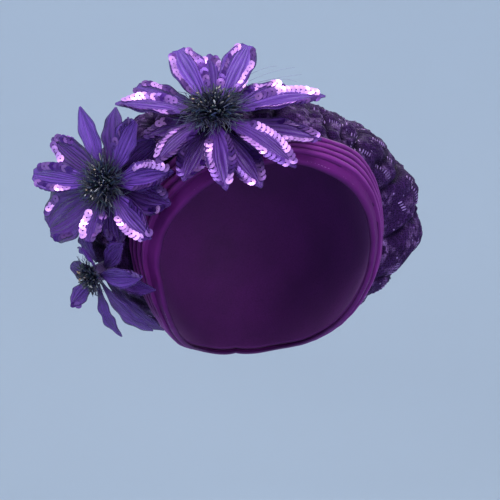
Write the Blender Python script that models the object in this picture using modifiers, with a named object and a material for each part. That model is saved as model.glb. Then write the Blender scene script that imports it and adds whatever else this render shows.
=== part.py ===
# Turban cap with a pleated face band, a puffed sequin-net drape and three organza flowers.
# The wearer faces -Y, +Z is up, and the origin is the inside of the cap at the crown.

import math

import bmesh
import bpy
from mathutils import Matrix, Vector
from mathutils.bvhtree import BVHTree

COLLECTION = "turban_cap_with_flowers"

# Gap left between pieces that touch
CLEARANCE = 0.0003

# Head form that the cap is stretched over: an egg with its own half axes, whose sides draw in
# towards the neck by a share of its width
HEAD_HALF_WIDTH = 0.079
HEAD_FRONT = 0.098
HEAD_BACK = 0.095
HEAD_RISE = 0.095
HEAD_DROP = 0.105
NECK_TAPER = 0.42

# Cloth walls
CAP_WALL = 0.0016
BAND_WALL = 0.0014
DRAPE_WALL = 0.0016
PETAL_WALL = 0.0010

# Face band: a flat fold and a row of tucks, lifted off the cap at its outer edge
BAND_WIDTH = 0.031
BAND_LIFT = 0.0065
TUCKS = 4
TUCK_RISE = 0.0016
FLAT_FOLD_SHARE = 0.30

# Net drape: lobes between furrows that run from the band to the gather at the back
DRAPE_HEIGHT = 0.043
DRAPE_START_GAP = 0.0020
LOBES = 18
FURROW_DEPTH = 0.18

# Flowers: hub, petals in two layers and the beaded centre
HUB_RADIUS = 0.0062
HUB_TOP = 0.0062
UPPER_LAYER = 0.0040
LOWER_LAYER = -0.0015
PETAL_CUP = 0.24

# Facets
COLUMNS_AROUND = 45
COLUMNS_PER_LOBE = 5
CAP_ROWS = 8
PETAL_ROWS = 5
CURVE_STEPS = 12

# Edge of the face opening on one side, from the forehead (0) to the nape (1), as shares of the
# head's half axes: out from the middle, ahead of it and up. Each row is pushed out to the egg.
RIM = [
    dict(way=0.000, out=0.00, ahead=0.837, up=0.568),
    dict(way=0.105, out=0.39, ahead=0.776, up=0.474),
    dict(way=0.210, out=0.65, ahead=0.663, up=0.347),
    dict(way=0.330, out=0.88, ahead=0.490, up=0.116),
    dict(way=0.440, out=0.95, ahead=0.357, up=-0.152),
    dict(way=0.500, out=0.96, ahead=0.337, up=-0.286),
    dict(way=0.620, out=0.86, ahead=0.133, up=-0.505),
    dict(way=0.755, out=0.72, ahead=-0.158, up=-0.667),
    dict(way=0.890, out=0.43, ahead=-0.474, up=-0.752),
    dict(way=1.000, out=0.00, ahead=-0.610, up=-0.781),
]

# Where the lobes meet at the back of the head, in the same shares
GATHER = dict(out=0.0, ahead=-0.85, up=0.53)

# Band along one side: its width and its lift off the cap, as shares of the named sizes
BAND_ALONG = [
    dict(way=0.00, width=0.55, lift=0.45),
    dict(way=0.10, width=0.75, lift=0.60),
    dict(way=0.20, width=0.95, lift=0.85),
    dict(way=0.33, width=1.00, lift=1.00),
    dict(way=0.45, width=0.92, lift=1.00),
    dict(way=0.55, width=0.66, lift=0.66),
    dict(way=0.66, width=0.44, lift=0.30),
    dict(way=1.00, width=0.40, lift=0.24),
]

# Height of the drape over the cap all the way round: -1 and 1 are the nape, 0 the forehead,
# and the wearer's left is positive
DRAPE_ROUND = [
    dict(turn=-1.00, height=0.26),
    dict(turn=-0.75, height=0.32),
    dict(turn=-0.62, height=0.46),
    dict(turn=-0.52, height=0.80),
    dict(turn=-0.40, height=0.96),
    dict(turn=-0.27, height=0.72),
    dict(turn=-0.13, height=0.26),
    dict(turn=0.00, height=0.12),
    dict(turn=0.10, height=0.12),
    dict(turn=0.20, height=0.30),
    dict(turn=0.30, height=0.78),
    dict(turn=0.40, height=1.18),
    dict(turn=0.48, height=1.24),
    dict(turn=0.56, height=0.84),
    dict(turn=0.66, height=0.42),
    dict(turn=1.00, height=0.26),
]

# Height of the drape from its front edge (0) to the gather (1)
DRAPE_PROFILE = [
    dict(way=0.000, height=0.00),
    dict(way=0.028, height=0.30),
    dict(way=0.080, height=0.68),
    dict(way=0.150, height=0.92),
    dict(way=0.250, height=1.03),
    dict(way=0.380, height=1.02),
    dict(way=0.530, height=0.94),
    dict(way=0.680, height=0.82),
    dict(way=0.820, height=0.66),
    dict(way=0.930, height=0.48),
    dict(way=1.000, height=0.34),
]
GATHER_HEIGHT = 0.56

# Half breadth of a petal from its root (0) to its tip (1), as a share of half its width
POINTED = [
    dict(along=0.00, breadth=0.16),
    dict(along=0.18, breadth=0.44),
    dict(along=0.40, breadth=0.86),
    dict(along=0.62, breadth=1.00),
    dict(along=0.83, breadth=0.66),
    dict(along=1.00, breadth=0.08),
]
ROUNDED = [
    dict(along=0.00, breadth=0.16),
    dict(along=0.18, breadth=0.42),
    dict(along=0.42, breadth=0.82),
    dict(along=0.66, breadth=1.00),
    dict(along=0.87, breadth=0.82),
    dict(along=1.00, breadth=0.34),
]

# Beaded centre: radius and height of its rings as shares of its radius, spikes on every other point
TUFT_RINGS = [
    dict(out=0.38, up=0.00, spike=0.00),
    dict(out=0.84, up=0.23, spike=0.20),
    dict(out=0.88, up=0.43, spike=0.16),
    dict(out=0.64, up=0.61, spike=0.20),
    dict(out=0.32, up=0.72, spike=0.24),
]
TUFT_TOP = 0.76
TUFT_POINTS = 14

# The flowers: where each is sewn to the drape (turn and way), how far its petals stand off it,
# where it faces (degrees from straight ahead towards the wearer's left, and up), its petals'
# length and width and the radius of its centre
FLOWERS = {
    "top_flower": dict(turn=-0.11, way=0.03, stand=0.013, heading=-20, tilt=46,
                       length=0.062, width=0.021, tuft=0.0200),
    "side_flower": dict(turn=-0.34, way=0.05, stand=0.013, heading=-50, tilt=4,
                        length=0.050, width=0.020, tuft=0.0180),
    "low_flower": dict(turn=-0.525, way=0.06, stand=0.011, heading=-66, tilt=-20,
                       length=0.050, width=0.015, tuft=0.0130),
}

# Petals of each flower: layer, turn in the flower's own plane (degrees, 0 to the viewer's right,
# 90 up), length and width as shares of the flower's, lift at the root and droop along it
# (degrees), and the outline
PETALS = {
    "top_flower": [
        dict(layer="upper", turn=121, length=0.80, width=1.15, lift=18, droop=-5, tip="rounded"),
        dict(layer="upper", turn=69, length=0.80, width=1.10, lift=18, droop=-5, tip="rounded"),
        dict(layer="upper", turn=6, length=1.08, width=0.95, lift=20, droop=25, tip="pointed"),
        dict(layer="upper", turn=-38, length=1.05, width=0.95, lift=12, droop=35, tip="pointed"),
        dict(layer="upper", turn=-78, length=0.92, width=0.95, lift=10, droop=40, tip="pointed"),
        dict(layer="upper", turn=-129, length=0.76, width=0.90, lift=12, droop=35, tip="pointed"),
        dict(layer="upper", turn=180, length=0.94, width=0.95, lift=20, droop=20, tip="pointed"),
        dict(layer="lower", turn=99, length=0.88, width=1.00, lift=8, droop=0, tip="pointed"),
        dict(layer="lower", turn=38, length=0.78, width=1.05, lift=5, droop=5, tip="pointed"),
        dict(layer="lower", turn=-12, length=1.05, width=1.00, lift=0, droop=5, tip="pointed"),
        dict(layer="lower", turn=-56, length=0.88, width=1.05, lift=-8, droop=10, tip="pointed"),
        dict(layer="lower", turn=-110, length=0.70, width=1.05, lift=-8, droop=10, tip="pointed"),
        dict(layer="lower", turn=-164, length=0.66, width=1.05, lift=0, droop=5, tip="pointed"),
        dict(layer="lower", turn=150, length=0.94, width=0.95, lift=5, droop=5, tip="rounded"),
    ],
    "side_flower": [
        dict(layer="upper", turn=105, length=0.96, width=0.75, lift=18, droop=-1, tip="pointed"),
        dict(layer="upper", turn=50, length=0.92, width=1.10, lift=17, droop=6, tip="rounded"),
        dict(layer="upper", turn=7, length=1.08, width=1.00, lift=18, droop=30, tip="pointed"),
        dict(layer="upper", turn=-40, length=1.00, width=1.05, lift=18, droop=30, tip="pointed"),
        dict(layer="upper", turn=-100, length=0.68, width=1.00, lift=18, droop=9, tip="rounded"),
        dict(layer="upper", turn=174, length=1.00, width=1.00, lift=18, droop=1, tip="rounded"),
        dict(layer="lower", turn=86, length=0.90, width=0.95, lift=5, droop=0, tip="pointed"),
        dict(layer="lower", turn=36, length=0.76, width=1.30, lift=0, droop=5, tip="rounded"),
        dict(layer="lower", turn=-14, length=0.92, width=1.25, lift=2, droop=5, tip="pointed"),
        dict(layer="lower", turn=-80, length=0.70, width=1.20, lift=0, droop=10, tip="pointed"),
        dict(layer="lower", turn=-150, length=1.08, width=1.95, lift=6, droop=3, tip="rounded"),
        dict(layer="lower", turn=150, length=1.15, width=1.05, lift=5, droop=5, tip="pointed"),
    ],
    "low_flower": [
        dict(layer="upper", turn=57, length=0.55, width=1.00, lift=26, droop=-8, tip="pointed"),
        dict(layer="upper", turn=0, length=0.98, width=1.00, lift=12, droop=30, tip="pointed"),
        dict(layer="upper", turn=-40, length=1.10, width=0.95, lift=12, droop=30, tip="pointed"),
        dict(layer="upper", turn=-80, length=0.80, width=0.90, lift=14, droop=30, tip="pointed"),
        dict(layer="upper", turn=-140, length=0.52, width=0.90, lift=26, droop=-8, tip="pointed"),
        dict(layer="lower", turn=-58, length=1.05, width=0.95, lift=-5, droop=25, tip="pointed"),
        dict(layer="lower", turn=-18, length=0.85, width=0.95, lift=-5, droop=15, tip="pointed"),
        dict(layer="lower", turn=30, length=0.70, width=1.05, lift=0, droop=5, tip="pointed"),
        dict(layer="lower", turn=104, length=0.46, width=1.00, lift=5, droop=5, tip="rounded"),
        dict(layer="lower", turn=176, length=0.56, width=0.95, lift=10, droop=5, tip="pointed"),
    ],
}

# Colours with roughness and metallic values
FINISHES = {
    "band_jersey": dict(colour=(0.150, 0.024, 0.190), roughness=0.62, metallic=0.0),
    "cap_jersey": dict(colour=(0.085, 0.016, 0.120), roughness=0.70, metallic=0.0),
    "sequin_net": dict(colour=(0.050, 0.018, 0.085), roughness=0.50, metallic=0.1),
    "petal_organza": dict(colour=(0.120, 0.030, 0.330), roughness=0.45, metallic=0.0),
    "bead_tuft": dict(colour=(0.018, 0.024, 0.034), roughness=0.30, metallic=0.2),
    "flower_hub": dict(colour=(0.060, 0.015, 0.110), roughness=0.70, metallic=0.0),
}


def clear_scene():
    for item in list(bpy.data.objects):
        bpy.data.objects.remove(item, do_unlink=True)


def finish(name):
    material = bpy.data.materials.get(name)
    if material is None:
        look = FINISHES[name]
        material = bpy.data.materials.new(name)
        material.use_nodes = True
        shader = material.node_tree.nodes["Principled BSDF"]
        shader.inputs["Base Color"].default_value = (*look["colour"], 1.0)
        shader.inputs["Roughness"].default_value = look["roughness"]
        shader.inputs["Metallic"].default_value = look["metallic"]
    return material


def read(table, key, place, column):
    # Value of a column at a place along the key column, on a smooth curve through the rows
    last = len(table) - 1
    i = 0
    while i < last - 1 and place > table[i + 1][key]:
        i += 1
    before, here = table[max(i - 1, 0)], table[i]
    there, after = table[i + 1], table[min(i + 2, last)]
    span = there[key] - here[key]
    slope_here = (there[column] - before[column]) / (there[key] - before[key])
    slope_there = (after[column] - here[column]) / (after[key] - here[key])
    t = (place - here[key]) / span
    rise = there[column] - here[column]
    bend = (slope_here * span - rise) * (1 - t) - (slope_there * span - rise) * t
    return here[column] + rise * t + t * (1 - t) * bend


def rim_direction(turn):
    # Direction of the rim from the egg's centre, in the egg's unit space
    way = abs(turn)
    side = 1.0 if turn >= 0 else -1.0
    out = read(RIM, "way", way, "out") * side
    return Vector((out, -read(RIM, "way", way, "ahead"), read(RIM, "way", way, "up"))).normalized()


def gather_direction():
    return Vector((GATHER["out"], -GATHER["ahead"], GATHER["up"])).normalized()


def egg_point(unit, height):
    # Point over the head, at a height along its normal
    half_y = HEAD_BACK if unit.y > 0 else HEAD_FRONT
    half_z = HEAD_RISE if unit.z > 0 else HEAD_DROP
    half_x = HEAD_HALF_WIDTH * (1 - NECK_TAPER * min(unit.z, 0) ** 2)
    skin = Vector((unit.x * half_x, unit.y * half_y, unit.z * half_z))
    normal = Vector((unit.x / half_x, unit.y / half_y, unit.z / half_z)).normalized()
    return skin + normal * height + Vector((0, 0, -HEAD_RISE))


def arc_length(turn):
    # Length over the head from the rim to the gather
    mean_radius = (HEAD_HALF_WIDTH + HEAD_FRONT + HEAD_BACK + HEAD_RISE) / 4
    return rim_direction(turn).angle(gather_direction()) * mean_radius


def over_head(turn, share, height):
    # Point at a share of the way from the rim (0) to the gather (1), at a height over the head
    unit = rim_direction(turn).slerp(gather_direction(), share) if share < 1 else gather_direction()
    return egg_point(unit, height)


def band_width(turn):
    return BAND_WIDTH * read(BAND_ALONG, "way", abs(turn), "width")


def band_profile():
    # Across the band: the flat fold, then a crease and a crest for each tuck
    points = [dict(across=0.0, rise=0.0)]
    pitch = (1 - FLAT_FOLD_SHARE) / TUCKS
    for tuck in range(TUCKS):
        start = FLAT_FOLD_SHARE + tuck * pitch
        points.append(dict(across=start, rise=0.0))
        points.append(dict(across=start + 0.4 * pitch, rise=TUCK_RISE))
    points.append(dict(across=1.0, rise=0.0))
    return points


def drape_start(turn):
    # The drape begins on the cap, just behind the band's outer edge
    return (band_width(turn) + DRAPE_START_GAP) / arc_length(turn)


def drape_point(turn, way, offset=0.0):
    # Middle of the drape's wall at a share of the way from its front edge to the gather
    lobe = abs(math.sin(math.pi * LOBES * (turn + 1) / 2))
    furrow = 1 - FURROW_DEPTH * (1 - lobe) * min(1.0, 5 * way)
    around = read(DRAPE_ROUND, "turn", turn, "height")
    around += (GATHER_HEIGHT - around) * way ** 2
    rise = DRAPE_HEIGHT * around * read(DRAPE_PROFILE, "way", way, "height") * furrow
    seat = CAP_WALL + CLEARANCE + DRAPE_WALL / 2
    start = drape_start(turn)
    return over_head(turn, start + (1 - start) * way, seat + rise + offset)


def skin(name, rows, closed=False, start_pole=False, end_pole=False):
    # Surface through rows of points; a pole is a row that shrinks to its first point
    bm = bmesh.new()
    grid = []
    for index, row in enumerate(rows):
        if (start_pole and index == 0) or (end_pole and index == len(rows) - 1):
            grid.append([bm.verts.new(row[0])] * len(row))
        else:
            grid.append([bm.verts.new(point) for point in row])
    columns = len(rows[0])
    spans = columns if closed else columns - 1
    for lower, upper in zip(grid, grid[1:]):
        for j in range(spans):
            k = (j + 1) % columns
            corners = [lower[j], lower[k], upper[k], upper[j]]
            face = [corner for i, corner in enumerate(corners) if corner not in corners[:i]]
            bm.faces.new(face)
    bmesh.ops.recalc_face_normals(bm, faces=bm.faces)
    mesh = bpy.data.meshes.new(name)
    bm.to_mesh(mesh)
    bm.free()
    return mesh


def add(name, mesh, material, wall=0.0):
    # Object in the part's collection; a cloth sheet gets its wall from Solidify
    item = bpy.data.objects.new(name, mesh)
    bpy.data.collections[COLLECTION].objects.link(item)
    mesh.materials.append(finish(material))
    if wall:
        solid = item.modifiers.new("wall", "SOLIDIFY")
        solid.thickness = wall
        solid.offset = 0.0
        solid.use_even_offset = True
        solid.use_quality_normals = True
    mesh.shade_smooth()
    mesh.set_sharp_from_angle(angle=math.radians(50))
    return item


def turns(columns):
    return [-1 + 2 * j / columns for j in range(columns)]


def make_cap():
    rows = []
    for i in range(CAP_ROWS + 1):
        share = i / CAP_ROWS
        rows.append([over_head(turn, share, CAP_WALL / 2) for turn in turns(COLUMNS_AROUND)])
    add("cap", skin("cap", rows, closed=True, end_pole=True), "cap_jersey", CAP_WALL)


def make_face_band():
    seat = CAP_WALL + CLEARANCE + BAND_WALL / 2
    rows = []
    for point in band_profile():
        row = []
        for turn in turns(COLUMNS_AROUND):
            share = point["across"] * band_width(turn) / arc_length(turn)
            lift = BAND_LIFT * read(BAND_ALONG, "way", abs(turn), "lift")
            row.append(over_head(turn, share, seat + point["across"] * lift + point["rise"]))
        rows.append(row)
    return add("face_band", skin("face_band", rows, closed=True), "band_jersey", BAND_WALL)


def make_net_drape():
    rows = []
    for profile in DRAPE_PROFILE:
        row = [drape_point(turn, profile["way"]) for turn in turns(LOBES * COLUMNS_PER_LOBE)]
        rows.append(row)
    mesh = skin("net_drape", rows, closed=True, end_pole=True)
    return add("net_drape", mesh, "sequin_net", DRAPE_WALL)


def flower_frame(flower):
    # Right, up and facing directions of a flower, and the middle of its petals
    heading = math.radians(flower["heading"])
    tilt = math.radians(flower["tilt"])
    facing = Vector((math.sin(heading) * math.cos(tilt), -math.cos(heading) * math.cos(tilt),
                     math.sin(tilt)))
    right = Vector((0, 0, 1)).cross(facing).normalized()
    up = facing.cross(right)
    seat = drape_point(flower["turn"], flower["way"], DRAPE_WALL / 2)
    return dict(right=right, up=up, facing=facing, middle=seat + facing * flower["stand"])


def seat_depth(frame, carriers):
    # How far below the petals a flat-ended post of the hub's radius meets the cloth
    depths = []
    for ring in range(6):
        radius = HUB_RADIUS * ring / 5
        for step in range(12):
            angle = 2 * math.pi * step / 12
            beside = frame["right"] * math.cos(angle) + frame["up"] * math.sin(angle)
            start = frame["middle"] + beside * radius
            hits = [tree.ray_cast(start, -frame["facing"])[0] for tree in carriers]
            depths += [(hit - start).length for hit in hits if hit is not None]
    return min(depths) - CLEARANCE


def make_hub(name, frame, carriers):
    depth = seat_depth(frame, carriers)
    height = depth + HUB_TOP
    bm = bmesh.new()
    bmesh.ops.create_cone(bm, cap_ends=True, segments=12, radius1=HUB_RADIUS, radius2=HUB_RADIUS,
                          depth=height)
    turn = Matrix((frame["right"], frame["up"], frame["facing"])).transposed().to_4x4()
    middle = frame["middle"] + frame["facing"] * (HUB_TOP - height / 2)
    bm.transform(Matrix.Translation(middle) @ turn)
    mesh = bpy.data.meshes.new(name)
    bm.to_mesh(mesh)
    bm.free()
    add(name, mesh, "flower_hub")


def petal_spine(petal, length):
    # Distance out from the hub's axis, height and slope along the petal's middle line
    step = length / CURVE_STEPS
    out = HUB_RADIUS + CLEARANCE + PETAL_WALL / 2
    height = UPPER_LAYER if petal["layer"] == "upper" else LOWER_LAYER
    line = [dict(along=0.0, out=out, height=height, slope=petal["lift"])]
    for i in range(CURVE_STEPS):
        slope = math.radians(petal["lift"] - petal["droop"] * (i + 0.5) / CURVE_STEPS)
        out += step * math.cos(slope)
        height += step * math.sin(slope)
        share = (i + 1) / CURVE_STEPS
        line.append(dict(along=share, out=out, height=height,
                         slope=petal["lift"] - petal["droop"] * share))
    return line


def make_petal(name, frame, flower, petal):
    length = petal["length"] * flower["length"]
    half_width = petal["width"] * flower["width"] / 2
    outline = POINTED if petal["tip"] == "pointed" else ROUNDED
    spine = petal_spine(petal, length)
    angle = math.radians(petal["turn"])
    outward = frame["right"] * math.cos(angle) + frame["up"] * math.sin(angle)
    sideways = frame["up"] * math.cos(angle) - frame["right"] * math.sin(angle)
    rows = []
    for i in range(PETAL_ROWS + 1):
        along = i / PETAL_ROWS
        out = read(spine, "along", along, "out")
        height = read(spine, "along", along, "height")
        slope = math.radians(read(spine, "along", along, "slope"))
        face = frame["facing"] * math.cos(slope) - outward * math.sin(slope)
        breadth = half_width * read(outline, "along", along, "breadth")
        row = []
        for j in range(-2, 3):
            across = j / 2
            cup = PETAL_CUP * breadth * across ** 2
            row.append(frame["middle"] + outward * out + frame["facing"] * height
                       + sideways * breadth * across + face * cup)
        rows.append(row)
    add(name, skin(name, rows), "petal_organza", PETAL_WALL)


def make_tuft(name, frame, flower):
    # Spiky dome of bead locks round one core, closed at both ends
    radius = flower["tuft"]
    base = frame["middle"] + frame["facing"] * (HUB_TOP + CLEARANCE)
    rows = [[base] * TUFT_POINTS]
    for index, ring in enumerate(TUFT_RINGS):
        row = []
        for j in range(TUFT_POINTS):
            angle = 2 * math.pi * (j + 0.5 * (index % 2)) / TUFT_POINTS
            reach = 1 + (ring["spike"] if j % 2 else -ring["spike"])
            beside = frame["right"] * math.cos(angle) + frame["up"] * math.sin(angle)
            rise = ring["up"] * radius * (1 + (ring["spike"] if j % 2 else 0))
            row.append(base + beside * ring["out"] * radius * reach + frame["facing"] * rise)
        rows.append(row)
    rows.append([base + frame["facing"] * radius * TUFT_TOP] * TUFT_POINTS)
    mesh = skin(name, rows, closed=True, start_pole=True, end_pole=True)
    add(name, mesh, "bead_tuft")


def make_flower(name, carriers):
    flower = FLOWERS[name]
    frame = flower_frame(flower)
    make_hub(f"{name}_base", frame, carriers)
    for number, petal in enumerate(PETALS[name], start=1):
        make_petal(f"{name}_petal_{number:02d}", frame, flower, petal)
    make_tuft(f"{name}_centre", frame, flower)


def surface_tree(item):
    # Finished surface of a piece, for seating others on it
    return BVHTree.FromObject(item, bpy.context.evaluated_depsgraph_get())


def main():
    clear_scene()
    collection = bpy.data.collections.new(COLLECTION)
    bpy.context.scene.collection.children.link(collection)
    make_cap()
    carriers = [surface_tree(make_face_band()), surface_tree(make_net_drape())]
    for name in FLOWERS:
        make_flower(name, carriers)


main()
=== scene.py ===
# Turban cap with a pleated face band, a puffed sequin-net drape and three organza flowers.
# Metres. The front faces -Y, +Z is up, and the origin is the inside of the cap at the crown.

import random
from math import acos, copysign, cos, exp, pi, radians, sin, sqrt

import bmesh
import bpy
from mathutils import Matrix, Vector, noise


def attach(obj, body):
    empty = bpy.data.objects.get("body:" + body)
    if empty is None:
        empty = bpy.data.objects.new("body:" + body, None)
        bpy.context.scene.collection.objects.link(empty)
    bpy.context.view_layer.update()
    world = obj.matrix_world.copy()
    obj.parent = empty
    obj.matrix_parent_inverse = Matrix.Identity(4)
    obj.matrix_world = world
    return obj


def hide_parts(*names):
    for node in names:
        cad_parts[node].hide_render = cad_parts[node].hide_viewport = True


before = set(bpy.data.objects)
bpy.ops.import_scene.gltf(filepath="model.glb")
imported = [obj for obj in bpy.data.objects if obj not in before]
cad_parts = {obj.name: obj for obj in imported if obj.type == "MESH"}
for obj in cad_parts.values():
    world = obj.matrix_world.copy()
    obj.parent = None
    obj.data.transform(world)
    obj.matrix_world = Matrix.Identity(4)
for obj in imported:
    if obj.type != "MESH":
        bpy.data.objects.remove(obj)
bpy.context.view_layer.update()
print("frame loaded,", len(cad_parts), "nodes")


def addObject(name, data):
    made = bpy.data.objects.new(name, data)
    bpy.context.scene.collection.objects.link(made)
    return made


# camera at the photo's angle

photoView = dict(
    azimuth=-13,                    # degrees, the cap's own right side is nearer
    elevation=2,
    distance=1.10,
    across=0.350,                   # width of the picture at the cap's middle
    sensor=36,
    headMiddle=(0.0, 0.0, -0.095),
    aside=-0.0031,                  # where it aims, from the crown
    down=0.1015,
)


def makeCamera(view):
    turn, lift = radians(view["azimuth"]), radians(view["elevation"])
    back = Vector((sin(turn) * cos(lift), -cos(turn) * cos(lift), sin(lift)))
    right = Vector((cos(turn), sin(turn), 0))
    aim = right * view["aside"] - Vector((0, 0, view["down"]))
    target = aim + back * (Vector(view["headMiddle"]) - aim).dot(back)
    data = bpy.data.cameras.new("camera")
    data.sensor_width = view["sensor"]
    data.lens = view["sensor"] * view["distance"] / view["across"]
    camera = addObject("camera", data)
    facing = Matrix((right, back.cross(right), back)).transposed().to_4x4()
    camera.matrix_world = Matrix.Translation(target + back * view["distance"]) @ facing
    bpy.context.scene.camera = camera


makeCamera(photoView)
print("camera placed")


# node trees: sockets that take part in plain expressions

class Wire:
    def __init__(self, net, socket):
        self.net = net
        self.socket = socket

    def __add__(self, other):
        return self.net.maths("ADD", self, other)

    def __radd__(self, other):
        return self.net.maths("ADD", other, self)

    def __sub__(self, other):
        return self.net.maths("SUBTRACT", self, other)

    def __rsub__(self, other):
        return self.net.maths("SUBTRACT", other, self)

    def __mul__(self, other):
        return self.net.maths("MULTIPLY", self, other)

    def __rmul__(self, other):
        return self.net.maths("MULTIPLY", other, self)


class Net:
    def __init__(self, tree):
        self.tree = tree

    def node(self, kind, settings=None, values=None, take=0):
        made = self.tree.nodes.new(kind)
        for name, value in (settings or {}).items():
            setattr(made, name, value)
        for name, value in (values or {}).items():
            self.feed(made.inputs[name], value)
        return Wire(self, made.outputs[take])

    def feed(self, socket, value):
        if isinstance(value, Wire):
            self.tree.links.new(value.socket, socket)
        else:
            socket.default_value = value

    def maths(self, operation, first, second=0.0):
        return self.node("ShaderNodeMath", {"operation": operation}, {0: first, 1: second})


class Finish(Net):
    # one material; constants go straight on the shader's sockets
    def __init__(self, name, plain):
        self.material = bpy.data.materials.new(name)
        self.material.use_nodes = True
        super().__init__(self.material.node_tree)
        self.shader = self.tree.nodes["Principled BSDF"]
        for socket, value in plain.items():
            self.shader.inputs[socket].default_value = value

    def give(self, socket, value):
        self.feed(self.shader.inputs[socket], value)

    def coat(self, colour, rough, height=None, depth=0.0):
        # ends a material with its colour, roughness and, where given, relief
        self.give("Base Color", colour)
        self.give("Roughness", rough)
        if height:
            bump = self.node("ShaderNodeBump", values={"Height": height, "Distance": depth})
            self.give("Normal", bump)
        return self.material

    def place(self, scale=(1, 1, 1), source="Object"):
        coordinates = self.node("ShaderNodeTexCoord", take=source)
        return self.node("ShaderNodeMapping", values={"Vector": coordinates, "Scale": scale})

    def split(self, vector):
        # x, y and z of a vector
        first = self.node("ShaderNodeSeparateXYZ", values={0: vector})
        return [Wire(self, output) for output in first.socket.node.outputs]

    def speckle(self, vector, scale, detail=2.0, rough=0.5):
        return self.node("ShaderNodeTexNoise", values={
            "Vector": vector, "Scale": scale, "Detail": detail, "Roughness": rough})

    def cells(self, vector, scale, feature="F1", loose=1.0):
        return self.node("ShaderNodeTexVoronoi", {"feature": feature}, {
            "Vector": vector, "Scale": scale, "Randomness": loose})

    def tone(self, name="tone"):
        return self.node("ShaderNodeAttribute", {"attribute_name": name}, take="Fac")

    def between(self, value, low, high, bottom=0.0, top=1.0):
        return self.node("ShaderNodeMapRange", values={0: value, 1: low, 2: high, 3: bottom, 4: top})

    def blend(self, mask, first, second):
        colours = [c if isinstance(c, Wire) else (*c, 1.0) for c in (first, second)]
        return self.node("ShaderNodeMix", {"data_type": "RGBA"},
                         {0: mask, 6: colours[0], 7: colours[1]}, take=2)

    def ramp(self, stops):
        # colour at each point's own tone
        made = self.node("ShaderNodeValToRGB", values={0: self.tone()})
        elements = made.socket.node.color_ramp.elements
        while len(elements) < len(stops):
            elements.new(1.0)
        for element, (place, colour) in zip(elements, stops):
            element.position = place
            element.color = (*colour, 1.0)
        return made


# finishes

capKnit = dict(deep=(0.040, 0.004, 0.060), light=(0.110, 0.012, 0.150), wale=0.0011, bump=0.00012)


def makeCapKnit():
    f = Finish("cap_knit", {"Sheen Weight": 0.12, "Sheen Roughness": 0.4,
                            "Sheen Tint": (0.80, 0.45, 0.95, 1), "Specular IOR Level": 0.3})
    spot = f.place()
    cloud = f.speckle(spot, 28, 3)
    loops = f.cells(spot, 1 / capKnit["wale"])
    colour = f.blend(cloud * (1.2 - loops * 0.6), capKnit["deep"], capKnit["light"])
    return f.coat(colour, 0.78 + cloud * 0.12, 1 - loops, capKnit["bump"])


# band colours: deep is painted shade for the creases, light a painted highlight for the crests, middle
# the jersey's own colour
bandKnit = dict(deep=(0.012, 0.0008, 0.024), middle=(0.084, 0.0070, 0.108), light=(0.200, 0.030, 0.240),
                ribs=(1100, 26), bump=0.00010)


def makeBandKnit():
    # tone runs from 0 in a crease to 1 on a crest; deep paints shade into the creases and light paints a
    # highlight along the crests
    f = Finish("band_knit", {"Sheen Weight": 0.03, "Sheen Roughness": 0.35,
                             "Sheen Tint": (0.95, 0.30, 1.0, 1), "Specular IOR Level": 0.16,
                             "Specular Tint": (1.0, 0.55, 1.0, 1)})
    ribs = f.speckle(f.place((*bandKnit["ribs"], 1), "UV"), 1.0, 2)
    cloud = f.speckle(f.place(), 55, 3)
    fold = f.between(f.tone() + (cloud - 0.5) * 0.35, 0.05, 0.62)
    crest = f.between(f.tone() + (cloud - 0.5) * 0.25, 0.78, 1.02)
    cloth = f.blend(fold, bandKnit["deep"], bandKnit["middle"])
    colour = f.blend(crest * 0.75, cloth, bandKnit["light"])
    return f.coat(colour, 0.60 - crest * 0.12 + ribs * 0.1, ribs, bandKnit["bump"])


# net colours: deep is painted shade for the creases and light painted light for the puffs; lace is the
# worked patches' own colour, made paler still on the puffs as painted light
netCloth = dict(deep=(0.0040, 0.0011, 0.011), light=(0.038, 0.0125, 0.080), lace=(0.270, 0.140, 0.410),
                mesh=0.0017, motif=0.0062, warp=0.012, bump=0.0005)


def makeNetCloth():
    # dark net with paler worked patches; tone runs from 0 in a crease to 1 on a puff, painting shade
    # into the creases and light onto the puffs
    f = Finish("net_cloth", {"Sheen Weight": 0.03, "Sheen Roughness": 0.4,
                             "Sheen Tint": (0.55, 0.22, 1.0, 1), "Specular IOR Level": 0.06,
                             "Specular Tint": (0.75, 0.45, 1.0, 1)})
    spot = f.place()
    drift = f.node("ShaderNodeTexNoise", values={"Vector": spot, "Scale": 120, "Detail": 2}, take=1)
    drift = f.node("ShaderNodeVectorMath", {"operation": "MULTIPLY_ADD"}, {
        0: drift, 1: (netCloth["warp"],) * 3, 2: spot})
    threads = f.between(f.cells(spot, 1 / netCloth["mesh"], "DISTANCE_TO_EDGE", 0.6), 0.02, 0.20, 1, 0)
    cloud = f.speckle(spot, 45, 4, 0.6)
    motif = f.between(f.cells(drift, 1 / netCloth["motif"]), 0.62, 0.30)
    litPuff = f.between(f.tone() + (cloud - 0.5) * 0.6, 0.15, 0.80)
    patch = motif * f.between(cloud, 0.45, 0.62) * (0.20 + litPuff * 0.80)
    cloth = f.blend((0.25 + threads * 0.75) * litPuff, netCloth["deep"], netCloth["light"])
    colour = f.blend(patch * (0.30 + threads * 0.60), cloth, netCloth["lace"])
    rough = 0.62 - patch * 0.20 + threads * 0.1
    return f.coat(colour, rough, threads + patch * 1.5, netCloth["bump"])


# organza colours: middle and plum are the cloth's own, plum also carrying the painted shade in tone;
# deep is painted shade and the hems' dark, light and dusk are painted highlights
organza = dict(deep=(0.007, 0.0006, 0.036), middle=(0.058, 0.0095, 0.225), light=(0.200, 0.080, 0.500),
               plum=(0.034, 0.0036, 0.100), dusk=(0.100, 0.030, 0.260), ribs=38, bump=0.0003)


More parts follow.
